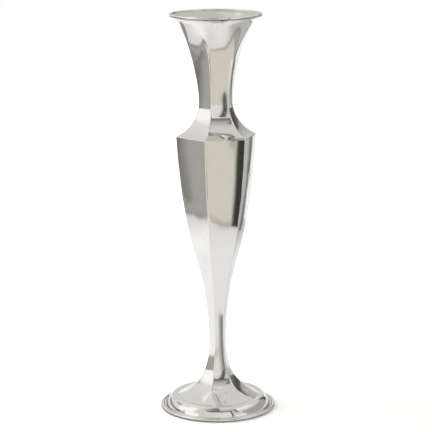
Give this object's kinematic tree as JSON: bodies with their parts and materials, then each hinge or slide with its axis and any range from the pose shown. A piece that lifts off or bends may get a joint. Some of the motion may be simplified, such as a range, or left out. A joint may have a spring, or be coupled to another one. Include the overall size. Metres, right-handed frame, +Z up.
{
  "type": "trumpet vase",
  "caption": "Slender trumpet vase in polished silver with flat panels, a sharp shoulder, a round flared mouth and a round weighted foot with a reeded border.",
  "frame": {"origin": "centre of the baize under the foot, on the table", "axes": "+Z up along the axis of the vase, -Y square to one of the panels, +X through an arris"},
  "size_m": [0.102, 0.102, 0.35],
  "materials": {
    "sheet_silver": "polished sheet silver, lightly worn",
    "wire_silver": "polished drawn silver",
    "plug_brass": "turned brass",
    "pitch": "dark poured pitch",
    "rod_steel": "bright drawn steel",
    "plate_brass": "rolled brass sheet",
    "baize": "green felt"
  },
  "bodies": {
    "root": {"mouth_wire": "wire_silver", "trumpet_neck": "sheet_silver", "body_shell": "sheet_silver", "foot_shell": "sheet_silver", "foot_reeding": "wire_silver", "stem_plug": "plug_brass", "foot_filling": "pitch", "reinforcing_rod": "rod_steel", "base_plate": "plate_brass", "baize_pad": "baize"}
  },
  "joints": []
}
